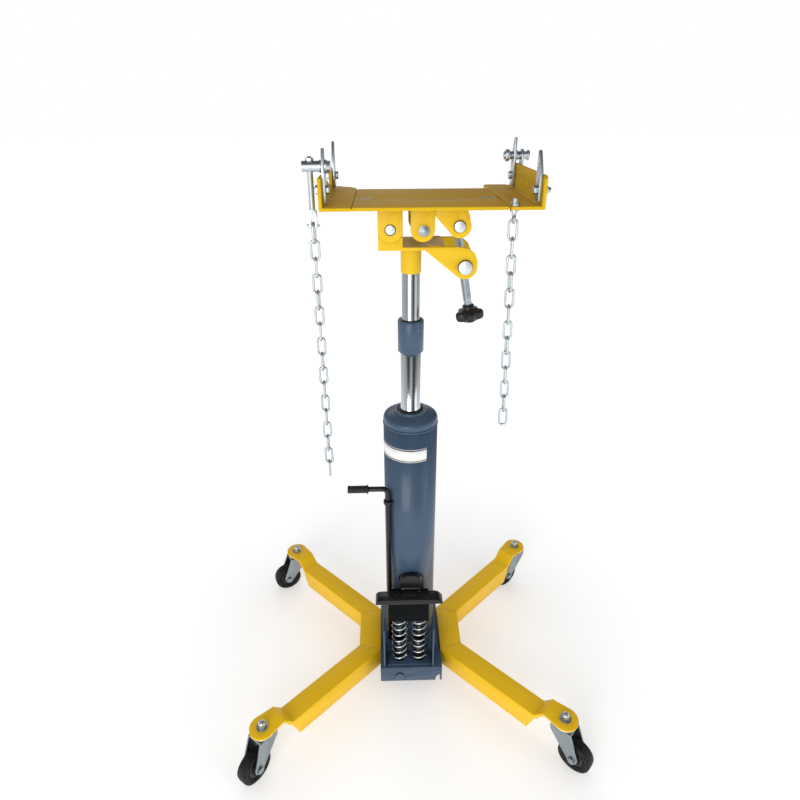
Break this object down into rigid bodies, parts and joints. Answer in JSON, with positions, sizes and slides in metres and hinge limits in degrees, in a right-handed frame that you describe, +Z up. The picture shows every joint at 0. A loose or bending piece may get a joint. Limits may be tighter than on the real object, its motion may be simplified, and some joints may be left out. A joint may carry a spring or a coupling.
{
  "type": "transmission jack",
  "caption": "Wheeled two-stage telescopic transmission jack with foot pump, tilting saddle plate, end brackets, restraint arms and chains.",
  "frame": {"origin": "on the floor, on the column axis; the middle of the overall box is 4.9 mm to the left and 6.9 mm to the front of it", "axes": "+Z up along the column, -Y towards the foot pedal, +X to the right of someone facing the pedal"},
  "size_m": [0.7553, 0.6185, 1.222],
  "materials": {
    "yellow_paint": "gloss",
    "blue_paint": "gloss",
    "black_paint": "gloss",
    "zinc": "satin",
    "chrome": "polished",
    "black_rubber": "matte",
    "black_plastic": "matte",
    "label_white": "matte",
    "spring_steel": "satin",
    "dark_zinc": "satin"
  },
  "bodies": {
    "base": {"base_pan": "blue_paint", "leg_frame_left": "yellow_paint", "leg_frame_right": "yellow_paint", "frame_bolts": "zinc", "guide_plates": "blue_paint", "pump_block": "blue_paint", "pump_barrels": "zinc", "return_springs": "spring_steel", "pressure_tube": "chrome", "reservoir_tube": "blue_paint", "cylinder_head": "blue_paint", "head_wiper": "black_rubber", "filler_plug": "zinc", "label_plate": "label_white", "rod_guide": "blue_paint", "pedal_stop": "black_paint", "caster_stems": "zinc"},
    "pedal": {"foot_plate": "black_paint", "foot_bolts": "zinc", "crosshead": "black_paint", "pump_plungers": "chrome"},
    "release": {"release_rod": "black_paint", "release_grip": "black_rubber"},
    "ram1": {"stage1_tube": "chrome", "stage1_piston": "chrome", "gland_collar": "blue_paint", "gland_wiper": "black_rubber"},
    "ram2": {"stage2_rod": "chrome"},
    "head": {"head_socket": "yellow_paint", "tilt_base": "yellow_paint", "pivot_pin": "zinc"},
    "table": {"table_plate": "yellow_paint", "table_ears": "yellow_paint", "tie_bolt": "zinc"},
    "trunnion_upper": {"upper_trunnion": "zinc"},
    "trunnion_lower": {"lower_trunnion": "zinc"},
    "screw": {"tilt_screw": "zinc", "tilt_knob": "black_plastic"},
    "bracket_left": {"end_bracket_left": "yellow_paint", "bracket_bolts_left": "zinc"},
    "bracket_right": {"end_bracket_right": "yellow_paint", "bracket_bolts_right": "zinc"},
    "arm_fl": {"arm_front_left": "zinc"},
    "arm_rl": {"arm_rear_left": "zinc"},
    "arm_fr": {"arm_front_right": "zinc"},
    "arm_rr": {"arm_rear_right": "zinc"},
    "tension_left": {"tension_pin_left": "zinc", "tension_bolt_left": "zinc"},
    "tension_right": {"tension_pin_right": "zinc"},
    "chain_l": {"chain_left": "zinc"},
    "chain_r": {"chain_right": "zinc"},
    "caster_fl": {"caster_fork_fl": "dark_zinc"},
    "wheel_fl": {"caster_wheel_fl": "black_rubber"},
    "caster_fr": {"caster_fork_fr": "dark_zinc"},
    "wheel_fr": {"caster_wheel_fr": "black_rubber"},
    "caster_rl": {"caster_fork_rl": "dark_zinc"},
    "wheel_rl": {"caster_wheel_rl": "black_rubber"},
    "caster_rr": {"caster_fork_rr": "dark_zinc"},
    "wheel_rr": {"caster_wheel_rr": "black_rubber"}
  },
  "joints": [
    {"name": "stage1_lift", "type": "slide", "parent": "base", "child": "ram1", "axis": [0, 0, 1], "range_m": [-0.12, 0.3]},
    {"name": "stage2_lift", "type": "slide", "parent": "ram1", "child": "ram2", "axis": [0, 0, 1], "range_m": [-0.085, 0.34]},
    {"name": "head_swivel", "type": "hinge", "parent": "ram2", "child": "head", "pos_m": [0, 0, 1.02], "axis": [0, 0, 1], "continuous": true},
    {"name": "table_tilt", "type": "hinge", "parent": "head", "child": "table", "pos_m": [-0.037, 0, 1.086], "axis": [0, -1, 0], "range_deg": [-4, 12]},
    {"name": "upper_trunnion_turn", "type": "hinge", "parent": "table", "child": "trunnion_upper", "pos_m": [0.0795, 0, 1.0907], "axis": [0, -1, 0], "range_deg": [-16, 8]},
    {"name": "lower_trunnion_turn", "type": "hinge", "parent": "head", "child": "trunnion_lower", "pos_m": [0.092, 0, 1.0205], "axis": [0, -1, 0], "range_deg": [-4, 4]},
    {"name": "tilt_screw_spin", "type": "hinge", "parent": "trunnion_upper", "child": "screw", "pos_m": [0.0795, 0, 1.0907], "axis": [0.1753, 0, -0.9845], "continuous": true},
    {"name": "pedal_press", "type": "slide", "parent": "base", "child": "pedal", "axis": [0, 0, -1], "range_m": [0, 0.05], "deforming": ["return_springs"]},
    {"name": "release_turn", "type": "hinge", "parent": "base", "child": "release", "pos_m": [-0.0485, -0.04, 0.3], "axis": [0, 0, 1], "range_deg": [-20, 60]},
    {"name": "bracket_left_slide", "type": "slide", "parent": "table", "child": "bracket_left", "axis": [-1, 0, 0], "range_m": [0, 0.015]},
    {"name": "bracket_right_slide", "type": "slide", "parent": "table", "child": "bracket_right", "axis": [1, 0, 0], "range_m": [0, 0.008]},
    {"name": "arm_front_left_swing", "type": "hinge", "parent": "bracket_left", "child": "arm_fl", "pos_m": [-0.138, -0.1, 1.157], "axis": [1, 0, 0], "range_deg": [-30, 30]},
    {"name": "arm_rear_left_swing", "type": "hinge", "parent": "bracket_left", "child": "arm_rl", "pos_m": [-0.138, 0.093, 1.159], "axis": [1, 0, 0], "range_deg": [-30, 30]},
    {"name": "arm_front_right_swing", "type": "hinge", "parent": "bracket_right", "child": "arm_fr", "pos_m": [0.192, -0.107, 1.155], "axis": [1, 0, 0], "range_deg": [-30, 30]},
    {"name": "arm_rear_right_swing", "type": "hinge", "parent": "bracket_right", "child": "arm_rr", "pos_m": [0.192, 0.093, 1.157], "axis": [1, 0, 0], "range_deg": [-20, 20]},
    {"name": "tension_left_turn", "type": "hinge", "parent": "arm_fl", "child": "tension_left", "pos_m": [-0.15, -0.1, 1.191], "axis": [1, 0, 0], "range_deg": [-25, 25]},
    {"name": "tension_right_turn", "type": "hinge", "parent": "arm_rr", "child": "tension_right", "pos_m": [0.19, 0.093, 1.191], "axis": [1, 0, 0], "range_deg": [-90, 90]},
    {"name": "chain_left_swing", "type": "hinge", "parent": "tension_left", "child": "chain_l", "pos_m": [-0.1585, -0.1, 1.103], "axis": [1, 0, 0], "range_deg": [-16, 16]},
    {"name": "chain_right_swing", "type": "hinge", "parent": "bracket_right", "child": "chain_r", "pos_m": [0.154, -0.121, 1.1146], "axis": [1, 0, 0], "range_deg": [-25, 10]},
    {"name": "caster_fl_swivel", "type": "hinge", "parent": "base", "child": "caster_fl", "pos_m": [-0.31501, -0.25401, 0.103], "axis": [0, 0, 1], "continuous": true},
    {"name": "caster_fl_roll", "type": "hinge", "parent": "caster_fl", "child": "wheel_fl", "pos_m": [-0.33541, -0.28121, 0.036], "axis": [0.8, -0.6, 0], "continuous": true},
    {"name": "caster_fr_swivel", "type": "hinge", "parent": "base", "child": "caster_fr", "pos_m": [0.31501, -0.25401, 0.103], "axis": [0, 0, 1], "continuous": true},
    {"name": "caster_fr_roll", "type": "hinge", "parent": "caster_fr", "child": "wheel_fr", "pos_m": [0.33956, -0.27753, 0.036], "axis": [0.6919, 0.722, 0], "continuous": true},
    {"name": "caster_rl_swivel", "type": "hinge", "parent": "base", "child": "caster_rl", "pos_m": [-0.31501, 0.27401, 0.103], "axis": [0, 0, 1], "continuous": true},
    {"name": "caster_rl_roll", "type": "hinge", "parent": "caster_rl", "child": "wheel_rl", "pos_m": [-0.3459, 0.2598, 0.036], "axis": [0.4178, -0.9085, 0], "continuous": true},
    {"name": "caster_rr_swivel", "type": "hinge", "parent": "base", "child": "caster_rr", "pos_m": [0.31501, 0.27401, 0.103], "axis": [0, 0, 1], "continuous": true},
    {"name": "caster_rr_roll", "type": "hinge", "parent": "caster_rr", "child": "wheel_rr", "pos_m": [0.28781, 0.25361, 0.036], "axis": [0.6, -0.8, 0], "continuous": true}
  ],
  "couplings": [
    {"joint": "lower_trunnion_turn", "follows": "table_tilt", "ratio": -0.087},
    {"joint": "upper_trunnion_turn", "follows": "table_tilt", "ratio": -1.087}
  ]
}
